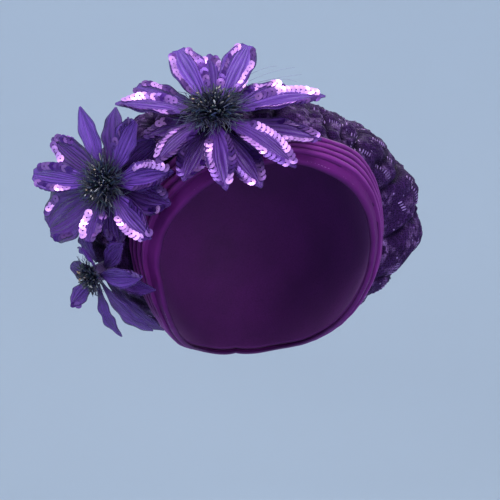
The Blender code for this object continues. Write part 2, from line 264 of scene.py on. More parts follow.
def makeOrganza():
    # u runs across the petal and v from root to tip; tone is each petal's shade, from violet to plum,
    # partly its own colour and partly painted shade; groove is 0 in the valleys of its pleats and 1 on
    # their crests, and paints shade into the valleys
    f = Finish("petal_organza", {"Sheen Weight": 0.15, "Sheen Roughness": 0.25,
                                 "Sheen Tint": (0.62, 0.25, 1.0, 1), "Specular IOR Level": 0.3})
    across, along, _ = f.split(f.place(source="UV"))
    tone, groove = f.tone(), f.tone("groove")
    fine = f.speckle(f.node("ShaderNodeCombineXYZ", values={
        0: across * organza["ribs"], 1: along * 3.0, 2: tone * 40}), 1.0, 3, 0.55)
    broad = f.speckle(f.node("ShaderNodeCombineXYZ", values={
        0: across * 5, 1: along * 2.0, 2: tone * 25}), 1.0, 2)
    # the edges are darker as the hem's own colour; towards the root shade is painted, where the petals
    # lie under the tuft and one another
    edge = f.between(f.maths("ABSOLUTE", across * 2 - 1), 0.80, 0.97)
    root = f.between(along + broad * 0.30, 0.14, 0.56)
    # lit is a painted sheen highlight in streaks, brighter on the pleat crests and fading at the root
    # and edges; crest is its colour, and deep is painted shade in the pleat valleys and at the root
    lit = f.between(fine * 0.55 + broad * 0.45 + groove * 0.16, 0.44, 0.80) * root * (1 - edge * 0.7)
    body = f.blend(tone, organza["middle"], organza["plum"])
    crest = f.blend(tone, organza["light"], organza["dusk"])
    cloth = f.blend(root * (1 - edge * 0.5) * f.between(groove + fine * 0.6, 0.15, 0.75, 0.32, 1.0),
                    organza["deep"], body)
    thin = f.between(along, 0.35, 1.0, 0.0, 0.12) + edge * 0.10
    f.give("Alpha", f.between(fine, 0.32, 0.60, 0.72, 1.0) - thin)
    return f.coat(f.blend(lit * 0.85, cloth, crest), 0.50 - lit * 0.15, fine, organza["bump"])


def makeSequinFoil(name, dark, glint, rough):
    # glossy moulded film; tone is each sequin's shade: on the petals it paints glints where light
    # catches a chain, on the net it differs at random
    f = Finish(name, {"Metallic": 0.70, "Coat Weight": 0.25, "Coat Roughness": 0.2,
                      "Coat Tint": (1.0, 0.80, 1.0, 1), "Specular Tint": (1.0, 0.75, 1.0, 1)})
    return f.coat(f.blend(f.tone(), dark, glint), rough + f.speckle(f.place(), 400, 1) * 0.06)


def makeBeadGlass():
    f = Finish("bead_glass", {"Coat Weight": 0.25, "Coat Roughness": 0.2, "IOR": 1.45})
    shades = [(0.0, (0.003, 0.002, 0.010)), (0.45, (0.008, 0.006, 0.030)),
              (0.70, (0.005, 0.019, 0.022)), (0.90, (0.015, 0.022, 0.085)), (1.0, (0.040, 0.040, 0.060))]
    return f.coat(f.ramp(shades), 0.34 + f.speckle(f.place(), 900, 1) * 0.15)


def makeTipBead():
    f = Finish("tip_bead", {"Metallic": 0.4, "Coat Weight": 0.5, "Coat Roughness": 0.15})
    shades = [(0.0, (0.07, 0.07, 0.09)), (0.5, (0.17, 0.16, 0.17)), (0.8, (0.27, 0.18, 0.11)),
              (1.0, (0.30, 0.30, 0.33))]
    return f.coat(f.ramp(shades), 0.22 + f.speckle(f.place(), 900, 1) * 0.1)


def makeThread(name, dark, light):
    f = Finish(name, {"Sheen Weight": 0.2, "Specular IOR Level": 0.4})
    twist = f.speckle(f.place(), 1500, 2)
    return f.coat(f.blend(twist, dark, light), 0.55 + twist * 0.2, twist, 0.00005)


finishes = dict(
    cap=makeCapKnit(),
    band=makeBandKnit(),
    net=makeNetCloth(),
    organza=makeOrganza(),
    # the petal sequins' pale colour is a painted glint, the dark one their film's own
    petalSequin=makeSequinFoil("petal_sequin", (0.045, 0.008, 0.150), (0.800, 0.420, 1.000), 0.34),
    netSequin=makeSequinFoil("net_sequin", (0.030, 0.010, 0.070), (0.420, 0.250, 0.620), 0.34),
    bead=makeBeadGlass(),
    tip=makeTipBead(),
    filament=makeThread("filament", (0.002, 0.005, 0.007), (0.010, 0.024, 0.028)),
    fringe=makeThread("fringe", (0.005, 0.007, 0.022), (0.030, 0.038, 0.110)),
    stray=makeThread("stray_thread", (0.110, 0.115, 0.220), (0.300, 0.320, 0.480)),
    stitch=makeThread("stitch_thread", (0.090, 0.012, 0.130), (0.260, 0.060, 0.330)),
    stem=makeThread("stem_cloth", (0.020, 0.006, 0.050), (0.070, 0.020, 0.150)),
)
print("finishes made,", len(finishes))


# egg-shaped form that the cap is stretched over, and the lines laid out on it

head = dict(halfWidth=0.079, front=0.098, back=0.095, rise=0.095, drop=0.105, neckTaper=0.42)
walls = dict(cap=0.0016, band=0.0014, drape=0.0016, gap=0.0003)
gather = Vector((0.0, 0.85, 0.53)).normalized()     # where the lobes meet at the back

rim = dict(                                         # from the front (0) to the back (1)
    way=[0, 0.105, 0.210, 0.330, 0.440, 0.500, 0.620, 0.755, 0.890, 1],
    out=[0, 0.39, 0.65, 0.88, 0.95, 0.96, 0.86, 0.72, 0.43, 0],
    ahead=[0.837, 0.776, 0.663, 0.490, 0.357, 0.337, 0.133, -0.158, -0.474, -0.610],
    up=[0.568, 0.474, 0.347, 0.116, -0.152, -0.286, -0.505, -0.667, -0.752, -0.781],
)


def read(table, place, column):
    # value of a column on a smooth curve through the table; the first column is the place
    places, values = next(iter(table.values())), table[column]
    last = len(places) - 1
    i = 0
    while i < last - 1 and place > places[i + 1]:
        i += 1
    before, after = max(i - 1, 0), min(i + 2, last)
    span = places[i + 1] - places[i]
    rise = values[i + 1] - values[i]
    slopeHere = (values[i + 1] - values[before]) / (places[i + 1] - places[before]) * span
    slopeThere = (values[after] - values[i]) / (places[after] - places[i]) * span
    t = (place - places[i]) / span
    bend = (slopeHere - rise) * (1 - t) - (slopeThere - rise) * t
    return values[i] + rise * t + t * (1 - t) * bend


def rimDirection(turn):
    # turn is 0 at the front, 1 and -1 at the back, positive on the cap's own left
    way = abs(turn)
    out = copysign(read(rim, way, "out"), turn)
    return Vector((out, -read(rim, way, "ahead"), read(rim, way, "up"))).normalized()


def eggPoint(unit, height):
    halfY = head["back"] if unit.y > 0 else head["front"]
    halfZ = head["rise"] if unit.z > 0 else head["drop"]
    halfX = head["halfWidth"] * (1 - head["neckTaper"] * min(unit.z, 0) ** 2)
    skin = Vector((unit.x * halfX, unit.y * halfY, unit.z * halfZ))
    normal = Vector((unit.x / halfX, unit.y / halfY, unit.z / halfZ)).normalized()
    return skin + normal * height - Vector((0, 0, head["rise"]))


def arcLength(turn):
    radius = (head["halfWidth"] + head["front"] + head["back"] + head["rise"]) / 4
    return rimDirection(turn).angle(gather) * radius


def overHead(turn, share, height):
    # share is 0 at the opening's edge and 1 at the gather
    unit = rimDirection(turn).slerp(gather, share) if share < 1 else gather
    return eggPoint(unit, height)


def clamped(number):
    # kept from 0 to 1
    return min(max(number, 0.0), 1.0)


def swell(point, size, seed):
    # smooth noise from -1 to 1 over blobs of a given size
    return noise.noise(Vector(point) / size + Vector((seed, seed * 1.7, seed * 0.6)))


def ringPoint(turn, run=0.0):
    # place for the noise: round the cap, and in from the edge
    ring = Vector((cos(pi * turn), sin(pi * turn), 0)) * head["halfWidth"]
    ring.z = run
    return ring


# building cloth

def clothMesh(name, rows, shades=None, closed=False, endPole=False, filled=False):
    # surface through rows of points, with a UV of 0 to 1 both ways and named numbers on each point;
    # filled puts a flat end on each open ring
    bm = bmesh.new()
    uvs = bm.loops.layers.uv.new("weave")
    layers = {key: bm.verts.layers.float.new(key) for key in shades or {}}
    grid = []
    for i, row in enumerate(rows):
        if endPole and i == len(rows) - 1:
            grid.append([bm.verts.new(row[0])] * len(row))
        else:
            grid.append([bm.verts.new(point) for point in row])
        for key, layer in layers.items():
            for vert, number in zip(grid[-1], shades[key][i]):
                vert[layer] = number
    columns = len(rows[0])
    spans = columns if closed else columns - 1
    for i in range(len(rows) - 1):
        for j in range(spans):
            k = (j + 1) % columns
            corners = [(grid[i][j], j, i), (grid[i][k], j + 1, i),
                       (grid[i + 1][k], j + 1, i + 1), (grid[i + 1][j], j, i + 1)]
            if grid[i + 1][k] is grid[i + 1][j]:
                corners.pop()
            face = bm.faces.new([corner[0] for corner in corners])
            for loop, (_, u, v) in zip(face.loops, corners):
                loop[uvs].uv = (u / spans, v / (len(rows) - 1))
    if filled:
        bmesh.ops.holes_fill(bm, edges=bm.edges, sides=0)
    bmesh.ops.recalc_face_normals(bm, faces=bm.faces)
    mesh = bpy.data.meshes.new(name)
    bm.to_mesh(mesh)
    bm.free()
    return mesh


def addPiece(name, mesh, material=None, wall=0.0, crisp=False):
    piece = addObject(name, mesh)
    if material:
        mesh.materials.append(material)
    mesh.shade_smooth()
    if crisp:
        mesh.set_sharp_from_angle(angle=radians(45))
    if wall:
        solid = piece.modifiers.new("wall", "SOLIDIFY")
        solid.thickness = wall
        solid.offset = 0.0
        solid.use_quality_normals = True
    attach(piece, "root")
    return piece


def shares(count):
    return [i / count for i in range(count + 1)]


def turnsAround(columns):
    return [-1 + 2 * j / columns for j in range(columns)]


# what repeats: one shape set on each point of a carrier by Geometry Nodes

class GeometryNet(Net):
    sockets = {int: "NodeSocketInt", float: "NodeSocketFloat", bpy.types.Material: "NodeSocketMaterial"}

    def __init__(self, name, sizes):
        self.sizes = sizes
        tree = bpy.data.node_groups.new(name, "GeometryNodeTree")
        super().__init__(tree)
        tree.interface.new_socket("Geometry", in_out="INPUT", socket_type="NodeSocketGeometry")
        tree.interface.new_socket("Geometry", in_out="OUTPUT", socket_type="NodeSocketGeometry")
        self.idents = {}
        for label, value in sizes.items():
            kind = self.sockets[type(value)]
            socket = tree.interface.new_socket(label, in_out="INPUT", socket_type=kind)
            self.idents[label] = socket.identifier
        self.entry = tree.nodes.new("NodeGroupInput")
        self.exit = tree.nodes.new("NodeGroupOutput")

    def given(self, label):
        return Wire(self, self.entry.outputs[label])

    def named(self, name, kind):
        return self.node("GeometryNodeInputNamedAttribute", {"data_type": kind}, {"Name": name})

    def close(self, geometry):
        real = self.node("GeometryNodeRealizeInstances", values={0: geometry})
        coated = self.node("GeometryNodeSetMaterial", values={
            "Geometry": real, "Material": self.given("Material")})
        self.feed(self.exit.inputs[0], coated)

    def scatter(self, shape):
        # the shape on every point, its Z along aim and its X along side, tilted a little at random
        turn = self.node("FunctionNodeAxesToRotation", {"primary_axis": "Z", "secondary_axis": "X"},
                         {0: self.named("aim", "FLOAT_VECTOR"), 1: self.named("side", "FLOAT_VECTOR")})
        low, high = [self.node("ShaderNodeCombineXYZ", values={0: tilt, 1: tilt})
                     for tilt in (self.given("Tilt") * -1.0, self.given("Tilt"))]
        wobble = self.node("FunctionNodeRandomValue", {"data_type": "FLOAT_VECTOR"},
                           {0: low, 1: high, "Seed": self.given("Seed")})
        wobble = self.node("FunctionNodeEulerToRotation", values={0: wobble})
        turn = self.node("FunctionNodeRotateRotation", {"rotation_space": "LOCAL"},
                         {0: turn, 1: wobble})
        return self.node("GeometryNodeInstanceOnPoints", values={
            "Points": self.given("Geometry"), "Instance": shape, "Rotation": turn,
            "Scale": self.named("size", "FLOAT_VECTOR")})

    def add(self, name, carrier, slot, values, crisp=False):
        # the tree's shapes on a carrier, as a piece with a plain mesh; values stand in for sizes
        holder = addObject(name + "_carrier", carrier)
        modifier = holder.modifiers.new("tree", "NODES")
        modifier.node_group = self.tree
        for label, value in {**self.sizes, **values}.items():
            modifier[self.idents[label]] = value
        graph = bpy.context.evaluated_depsgraph_get()
        mesh = bpy.data.meshes.new_from_object(holder.evaluated_get(graph))
        holder.modifiers.remove(modifier)
        bpy.data.objects.remove(holder)
        mesh.name = name
        return addPiece(name, mesh, crisp=crisp)


def pointCarrier(points):
    # points of dictionaries with at, aim, side, size and tone
    mesh = bpy.data.meshes.new("carrier")
    mesh.from_pydata([point["at"] for point in points], [], [])
    for key in ("aim", "side", "size"):
        layer = mesh.attributes.new(key, "FLOAT_VECTOR", "POINT")
        layer.data.foreach_set("vector", [number for point in points for number in point[key]])
    layer = mesh.attributes.new("tone", "FLOAT", "POINT")
    layer.data.foreach_set("value", [point["tone"] for point in points])
    return mesh


sequinSizes = {"Radius": 0.0029, "Hole": 0.0006, "Film": 0.00016, "Cup": 0.10, "Sides": 10,
               "Tilt": 0.04, "Seed": 1, "Material": finishes["petalSequin"]}


def makeSequinTree():
    # a flat ring bent into a shallow cup
    net = GeometryNet("sequins", sequinSizes)
    circle = net.node("GeometryNodeCurvePrimitiveCircle", values={
        "Resolution": net.given("Sides"), "Radius": (net.given("Radius") + net.given("Hole")) * 0.5})
    profile = net.node("GeometryNodeCurvePrimitiveQuadrilateral", values={
        "Width": net.given("Radius") - net.given("Hole"), "Height": net.given("Film")})
    lean = net.node("ShaderNodeCombineXYZ", values={2: net.given("Cup")})
    profile = net.node("GeometryNodeTransform", values={"Geometry": profile, "Rotation": lean})
    ring = net.node("GeometryNodeCurveToMesh", values={"Curve": circle, "Profile Curve": profile})
    net.close(net.scatter(ring))
    return net


bugleSizes = {"Radius": 0.00045, "Length": 0.0048, "Tilt": 0.05, "Seed": 1, "Material": finishes["bead"]}


def makeBugleTree():
    # a six-sided tube bead that lies along its aim
    net = GeometryNet("bugle_beads", bugleSizes)
    tube = net.node("GeometryNodeMeshCylinder", values={
        "Vertices": 6, "Radius": net.given("Radius"), "Depth": net.given("Length")})
    net.close(net.scatter(tube))
    return net


roundSizes = {"Radius": 0.0006, "Tilt": 0.3, "Seed": 1, "Material": finishes["tip"]}


def makeRoundTree():
    # a small ball, which its size can draw out into a stitch
    net = GeometryNet("round_beads", roundSizes)
    ball = net.node("GeometryNodeMeshUVSphere", values={
        "Segments": 8, "Rings": 6, "Radius": net.given("Radius")})
    net.close(net.scatter(ball))
    return net


threadSizes = {"Radius": 0.00022, "Material": finishes["filament"]}


def makeThreadTree():
    # a round thread along each chain of edges
    net = GeometryNet("threads", threadSizes)
    path = net.node("GeometryNodeMeshToCurve", values={0: net.given("Geometry")})
    section = net.node("GeometryNodeCurvePrimitiveCircle", values={
        "Resolution": 5, "Radius": net.given("Radius")})
    net.close(net.node("GeometryNodeCurveToMesh", values={
        "Curve": path, "Profile Curve": section, "Fill Caps": True}))
    return net


trees = dict(sequin=makeSequinTree(), bugle=makeBugleTree(), round=makeRoundTree(),
             thread=makeThreadTree())
print("trees made,", len(trees))


def addThreads(name, strands, slot, values):
    # a round thread along each strand, a list of points
    verts, edges = [], []
    for strand in strands:
        first = len(verts)
        edges += [(first + i, first + i + 1) for i in range(len(strand) - 1)]
        verts += strand
    carrier = bpy.data.meshes.new(name + "_lines")
    carrier.from_pydata(verts, edges, [])
    return trees["thread"].add(name, carrier, slot, values)


# cap: one jersey shell under everything

cap = dict(columns=240, rows=64, start=0.0035, ease=0.0004, easeSize=0.03, flat=(0.50, 0.26), cut=0.062)


def capPoint(turn, way):
    start = cap["start"] / arcLength(turn)      # its edge is tucked behind the band's
    point = overHead(turn, start + (1 - start) * way, walls["cap"] / 2)
    outward = (point - Vector(photoView["headMiddle"])).normalized()
    return point + outward * cap["ease"] * (swell(point, cap["easeSize"], 3) - 0.5)


def makeCap():
    turns = turnsAround(cap["columns"])
    rows = [[capPoint(turn, way) for turn in turns] for way in shares(cap["rows"])]
    mesh = clothMesh("cap_shell", rows, closed=True, endPole=True)
    piece = addPiece("cap_shell", mesh, finishes["cap"], walls["cap"])
    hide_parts("cap")


makeCap()
print("cap made")


# face band: a flat fold with a hem, then four tucks

band = dict(
    width=0.031, lift=0.0065, tucks=4, rise=0.0024, flatShare=0.30,
    columns=380, steps=60,
    hemRoll=0.0024, hemShare=0.035,         # inner edge rolled in to meet the cap
    flatTone=0.62, hemShade=0.45,           # tone of the flat fold, and how much painted shade darkens its rolled-in hem
    tuckLean=0.75, tuckRound=0.7,           # below 1, a tuck leans to the opening and has a rounder top
    sway=0.014, swaySize=0.045,             # how far the tucks wander, as a share of the width
    wrinkle=0.00035, wrinkleSize=0.007,
    flat=(0.62, 0.046),
)
bandAlong = dict(
    way=[0, 0.10, 0.20, 0.33, 0.45, 0.55, 0.66, 1],
    width=[0.55, 0.75, 0.95, 1.00, 0.92, 0.66, 0.44, 0.40],
    lift=[0.45, 0.60, 0.85, 1.00, 1.00, 0.66, 0.30, 0.24],
)


def bandWidth(turn):
    return band["width"] * read(bandAlong, abs(turn), "width")


def tuckRise(across):
    # height and tone across the band: round tucks with sharp creases between them; the tone paints shade
    # into the creases and the hem's roll, and highlight on the tucks' tops
    if across < band["flatShare"]:
        roll = exp(-(across / band["hemShare"]) ** 2)
        return -band["hemRoll"] * roll, band["flatTone"] - band["hemShade"] * roll
    place = (across - band["flatShare"]) / (1 - band["flatShare"]) * band["tucks"]
    within = min(place - int(place), 1.0) if place < band["tucks"] else 1.0
    inside = 0 < within < 1
    hump = sin(pi * within ** band["tuckLean"]) ** band["tuckRound"] if inside else 0.0
    return band["rise"] * hump, hump


def makeBand():
    seat = walls["cap"] + walls["gap"] + walls["band"] / 2
    rows, tones = [], []
    for across in shares(band["steps"]):
        row, toneRow = [], []
        for turn in turnsAround(band["columns"]):
            sway = band["sway"] * swell(ringPoint(turn), band["swaySize"], 5) * sin(pi * across)
            rise, tone = tuckRise(clamped(across + sway))
            share = across * bandWidth(turn) / arcLength(turn)
            lift = band["lift"] * read(bandAlong, abs(turn), "lift")
            ring = ringPoint(turn, across * band["width"])
            pull = band["wrinkle"] * swell(ring, band["wrinkleSize"], 9)
            row.append(overHead(turn, share, seat + across * lift + rise + pull))
            toneRow.append(tone)
        rows.append(row)
        tones.append(toneRow)
    mesh = clothMesh("pleated_band", rows, dict(tone=tones), closed=True)
    piece = addPiece("pleated_band", mesh, finishes["band"], walls["band"])
    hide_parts("face_band")


makeBand()

hem = dict(across=0.075, pitch=0.0026, length=0.0018, thread=0.00045, proud=0.2, steps=2400, tilt=0.03)


def makeHemStitches():
    # one row of stitches round the face opening, just behind the edge
    seat = walls["cap"] + walls["gap"] + walls["band"] + hem["thread"] * hem["proud"]
    points, last = [], None
    for turn in turnsAround(hem["steps"]):
        at = overHead(turn, hem["across"] * bandWidth(turn) / arcLength(turn), seat)
        if last is None or (at - last).length > hem["pitch"]:
            if last is not None:
                points.append(dict(at=at, aim=(at - last).normalized(), side=at.normalized(), tone=0.5,
                                   size=(hem["thread"], hem["thread"], hem["length"])))
            last = at
    trees["round"].add("hem_stitches", pointCarrier(points), "band_jersey", {
        "Radius": 0.5, "Tilt": hem["tilt"], "Seed": 4, "Material": finishes["stitch"]})


makeHemStitches()
print("band made")


# net drape: puffed lobes between furrows, ruched all over

drape = dict(
    height=0.043, startGap=0.0020, lobes=18, gatherHeight=0.56,
    furrow=0.18, furrowGrowth=5,            # how deep, and how fast that is reached from the band
    columns=432, rows=110, rowGrowth=1.25,  # above 1, rows are closer at the band
    ends=(0.06, 0.05),                      # ways over which the folds fade, at the band and the gather
    crease=0.0052, creaseWidth=0.24,        # extra sharp valley along each furrow
    split=0.0046, splitWidth=0.10,          # lesser valley that wanders down the middle of each lobe
    splitPlace=(0.5, 0.30), splitStrength=(0.65, 0.8),      # plain value, and how far it strays
    pucker=0.0031, puckerRun=0.0072, puckerSpan=0.011,
    puckerRidge=0.7, puckerCalm=0.45,       # below 1, sharp ridges; how much calmer on top of a lobe
    billow=0.0030, billowSize=0.020,
    wander=0.30, wanderSize=0.034,          # how far the creases stray, in lobes
    plainTone=0.75,                         # tone where the cloth is neither creased nor puffed, between painted crease shade and painted puff light
    flat=(0.72, 0.20),
)
drapeRound = dict(
    turn=[-1, -0.75, -0.62, -0.52, -0.40, -0.27, -0.13, 0, 0.10, 0.20, 0.30, 0.40, 0.48, 0.56, 0.66, 1],
    height=[0.26, 0.32, 0.46, 0.80, 0.96, 0.72, 0.26, 0.12, 0.12, 0.30, 0.78, 1.18, 1.24, 0.84, 0.42,
            0.26],
)
drapeProfile = dict(
    way=[0, 0.028, 0.080, 0.150, 0.250, 0.380, 0.530, 0.680, 0.820, 0.930, 1],
    height=[0, 0.30, 0.68, 0.92, 1.03, 1.02, 0.94, 0.82, 0.66, 0.48, 0.34],
)


def plainDrape(turn, way, offset=0.0):
    # the drape without its small folds
    lobe = abs(sin(pi * drape["lobes"] * (turn + 1) / 2))
    furrow = 1 - drape["furrow"] * (1 - lobe) * min(1.0, drape["furrowGrowth"] * way)
    around = read(drapeRound, turn, "height")
    around += (drape["gatherHeight"] - around) * way ** 2
    rise = drape["height"] * around * read(drapeProfile, way, "height") * furrow
    seat = walls["cap"] + walls["gap"] + walls["drape"] / 2
    start = (bandWidth(turn) + drape["startGap"]) / arcLength(turn)
    height = seat + max(rise + offset, 0.0)             # rests on the cap
    return overHead(turn, start + (1 - start) * way, height)


def ruching(turn, way):
    # height of the small folds: creases along the furrows, puckers across them and soft billows
    run = way * arcLength(turn)
    ring = ringPoint(turn, run)
    place = drape["lobes"] * (turn + 1) / 2 + drape["wander"] * swell(ring, drape["wanderSize"], 37)
    lobe = abs(sin(pi * place))
    number = place // 1 % drape["lobes"]
    ends = min(1.0, way / drape["ends"][0]) * min(1.0, (1 - way) / drape["ends"][1])
    crease = drape["crease"] * exp(-(lobe / drape["creaseWidth"]) ** 2)
    plain, stray = drape["splitPlace"]
    halfway = plain + stray * swell((number * 3.7, way * 2.5, 0), 1.0, 23)
    plain, stray = drape["splitStrength"]
    strength = plain + stray * swell((number * 5.3, way * 3.5, 0), 1.0, 29)
    crease += drape["split"] * strength * exp(-((place % 1 - halfway) / drape["splitWidth"]) ** 2)
    span, calm = drape["puckerSpan"], drape["puckerCalm"]
    fold = swell((ring.x / span, ring.y / span, run / drape["puckerRun"]), 1.0, 11)
    pucker = drape["pucker"] * (1 - 2 * abs(fold) ** drape["puckerRidge"])
    pucker *= 1 - calm + calm * (1 - lobe)
    return ends * (drape["billow"] * swell(ring, drape["billowSize"], 17) + pucker - crease)


def drapePoint(turn, way):
    return plainDrape(turn, way, ruching(turn, way))


def makeDrape():
    columns = turnsAround(drape["columns"])
    rows, tones = [], []
    for share in shares(drape["rows"]):
        way = share ** drape["rowGrowth"]
        folds = [ruching(turn, way) for turn in columns]
        rows.append([plainDrape(turn, way, fold) for turn, fold in zip(columns, folds)])
        # tone from the folds' height: painted shade in the creases, painted light on the puffs
        tones.append([clamped(drape["plainTone"] + fold / drape["crease"]) for fold in folds])
    mesh = clothMesh("ruched_net", rows, dict(tone=tones), closed=True, endPole=True)
    piece = addPiece("ruched_net", mesh, finishes["net"], walls["drape"])
    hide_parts("net_drape")


makeDrape()

ladder = dict(                              # sequins in lines on the net
    lines=14, first=0.05, last=0.90, sway=0.03, pitch=0.0021, patch=0.017, keep=0.20,
    loose=1000, ends=(-0.99, 0.98), ways=(0.03, 0.93),
    dash=(1.50, 0.36, 1), dashTone=(0.3, 1.0), spot=(0.55, 0.55, 1), spotTone=(0.0, 0.7),
    lift=0.0003, step=0.004,                # step in turn and way that slopes are read over
    hidden=(-0.66, 0.10), hiddenWay=0.30,   # none under the flowers
)


def covered(turn, way):
    return way < ladder["hiddenWay"] and ladder["hidden"][0] < turn < ladder["hidden"][1]


def netSequin(turn, way, size, tone):
    # a point on the drape that faces outward and runs to the gather
    step = ladder["step"]
    at = drapePoint(turn, way)
    beside = drapePoint(turn + step, way) - at
    onward = drapePoint(turn, min(way + step, 0.999)) - at
    outward = beside.cross(onward).normalized()
    if outward.dot(at - Vector(photoView["headMiddle"])) < 0:
        outward = -outward
    lift = walls["drape"] / 2 + ladder["lift"]
    return dict(at=at + outward * lift, aim=outward, side=onward.normalized(), size=size, tone=tone)


def makeNetSequins():
    # short ladders of dashes that run round the cap, and loose spots between
    draw = random.Random(21)
    points = []
    first, step = ladder["first"], ladder["step"]
    for line in range(ladder["lines"]):
        level = first + (ladder["last"] - first) * line / ladder["lines"]
        turn = ladder["ends"][0]
        while turn < -ladder["ends"][0]:
            way = level + ladder["sway"] * swell((turn * 9, level * 40, 0), 1.0, 31)
            spot = plainDrape(turn, way)
            if not covered(turn, way) and swell(spot, ladder["patch"], 41 + line) > ladder["keep"]:
                tone = draw.uniform(*ladder["dashTone"])
                points.append(netSequin(turn, way, ladder["dash"], tone))
            onward = (plainDrape(turn + step, way) - spot).length / step
            turn += ladder["pitch"] / onward
    for _ in range(ladder["loose"]):
        turn, way = draw.uniform(*ladder["ends"]), draw.uniform(*ladder["ways"])
        if not covered(turn, way):
            tone = draw.uniform(*ladder["spotTone"])
            points.append(netSequin(turn, way, ladder["spot"], tone))
    print("net sequins:", len(points))
    trees["sequin"].add("net_sequins", pointCarrier(points), "sequin_net", {
        "Radius": 0.0014, "Hole": 0.0002, "Film": 0.00014, "Sides": 6, "Tilt": 0.14, "Seed": 7,
        "Material": finishes["netSequin"]}, crisp=True)


makeNetSequins()
print("drape made")


# flowers

hub = dict(radius=0.0062, top=0.0062, upper=0.0040, lower=-0.0015, ridge=0.0005, turns=9,
           sides=28, levels=40)

# tone is each petal's shade, from violet (0) to plum (1): partly the cloth's own colour and partly
# painted shade, the side and low flowers' ranges darker for facing away from the light; a flower's
# downward shade is how much painted shade its petals that point down gain, as the light comes from above
flowers = dict(
    top_flower=dict(turn=-0.11, way=0.03, stand=0.013, heading=-20, tilt=46, length=0.062, width=0.021,
                    tuft=0.0200, filaments=230, tone=(0.0, 0.24), downwardShade=0.90,
                    sequins=dict(upper=0.36, lower=0.55)),
    side_flower=dict(turn=-0.34, way=0.05, stand=0.013, heading=-50, tilt=4, length=0.050, width=0.020,
                     tuft=0.0180, filaments=230, tone=(0.08, 0.46), downwardShade=0.50,
                     sequins=dict(upper=0.45, lower=0.70)),
    low_flower=dict(turn=-0.525, way=0.06, stand=0.011, heading=-66, tilt=-20, length=0.050, width=0.015,
                    tuft=0.0118, filaments=140, tone=(0.20, 0.55), downwardShade=0.50,
                    sequins=dict(upper=0.80, lower=1.0)),
)

# turn in the flower's own plane, shares of its length and width, lift at the root, droop to the tip,
# and where the sequins get painted glints along the edge on from the turn and the one before it; where
# there is None that edge has no sequins
petals = dict(
    top_flower=[
        ("upper", "rounded", 121, 0.80, 1.15, 18, -5, (0.50, 0.90), (0.80, 0.86)),
        ("upper", "rounded", 69, 0.80, 1.10, 18, -5, (0.78, 0.93), (0.36, 0.74)),
        ("upper", "pointed", 6, 1.08, 0.95, 20, 25, (0.52, 0.94), (0.36, 0.72)),
        ("upper", "pointed", -38, 1.05, 0.95, 12, 35, (0.36, 0.84), (0.36, 0.66)),
        ("upper", "pointed", -78, 0.92, 0.95, 10, 40, (0.84, 0.93), (0.36, 0.64)),
        ("upper", "pointed", -129, 0.76, 0.90, 12, 35, (), (0.40, 0.90)),
        ("upper", "pointed", 180, 0.94, 0.95, 20, 20, (0.36, 0.56), (0.66, 0.94)),
        ("lower", "pointed", 99, 0.88, 1.00, 8, 0, (0.60, 0.90), (0.55, 0.80)),
        ("lower", "pointed", 38, 0.78, 1.05, 5, 5, (0.66, 0.93), (0.60, 0.72)),
        ("lower", "pointed", -12, 1.05, 1.00, 0, 5, (), (0.62, 0.90)),
        ("lower", "pointed", -56, 0.88, 1.05, -8, 10, (), (0.86, 0.92)),
        ("lower", "pointed", -110, 0.70, 1.05, -8, 10, (), ()),
        ("lower", "pointed", -164, 0.66, 1.05, 0, 5, (), (0.60, 0.76)),
        ("lower", "rounded", 150, 0.94, 0.95, 5, 5, (0.70, 0.80), (0.66, 0.84)),
    ],
    side_flower=[
        ("upper", "pointed", 105, 0.96, 0.75, 18, -1, None, None),
        ("upper", "rounded", 50, 0.92, 1.10, 17, 6, (), None),
        ("upper", "pointed", 7, 1.08, 1.00, 18, 30, (0.45, 0.90), ()),
        ("upper", "pointed", -40, 1.00, 1.05, 18, 30, (), (0.45, 0.90)),
        ("upper", "rounded", -100, 0.68, 1.00, 18, 9, (), (0.45, 0.93)),
        ("upper", "rounded", 174, 1.00, 1.00, 18, 1, (0.45, 0.58), ()),
        ("lower", "pointed", 86, 0.90, 0.95, 5, 0, None, None),
        ("lower", "rounded", 36, 0.76, 1.30, 0, 5, None, ()),
        ("lower", "pointed", -14, 0.92, 1.25, 2, 5, (), (0.78, 0.84)),
        ("lower", "pointed", -80, 0.70, 1.20, 0, 10, (), ()),
        ("lower", "rounded", -150, 1.08, 1.95, 6, 3, (), (0.78, 0.90)),
        ("lower", "pointed", 150, 1.15, 1.05, 5, 5, (0.70, 0.90), ()),
    ],
    low_flower=[
        ("upper", "pointed", 57, 0.55, 1.00, 26, -8, None, None),
        ("upper", "pointed", 0, 0.98, 1.00, 12, 30, (), None),
        ("upper", "pointed", -40, 1.10, 1.05, 12, 30, None, None),
        ("upper", "pointed", -80, 0.80, 1.15, 14, 30, None, None),
        ("upper", "pointed", -140, 0.52, 0.90, 26, -8, (), None),
        ("lower", "pointed", -58, 1.05, 1.15, -5, 25, None, None),
        ("lower", "pointed", -18, 0.85, 0.95, -5, 15, None, None),
        ("lower", "pointed", 30, 0.70, 1.05, 0, 5, None, None),
        ("lower", "rounded", 104, 0.46, 1.00, 5, 5, None, None),
        ("lower", "pointed", 176, 0.56, 0.95, 10, 5, None, None),
    ],
)
petalFacts = ("layer", "tip", "turn", "length", "width", "lift", "droop", "onward", "before")

outlines = dict(
    pointed=dict(along=[0, 0.18, 0.40, 0.62, 0.83, 1], breadth=[0.16, 0.44, 0.86, 1.00, 0.66, 0.08]),
    rounded=dict(along=[0, 0.18, 0.42, 0.66, 0.87, 1], breadth=[0.16, 0.42, 0.82, 1.00, 0.82, 0.34]),
)

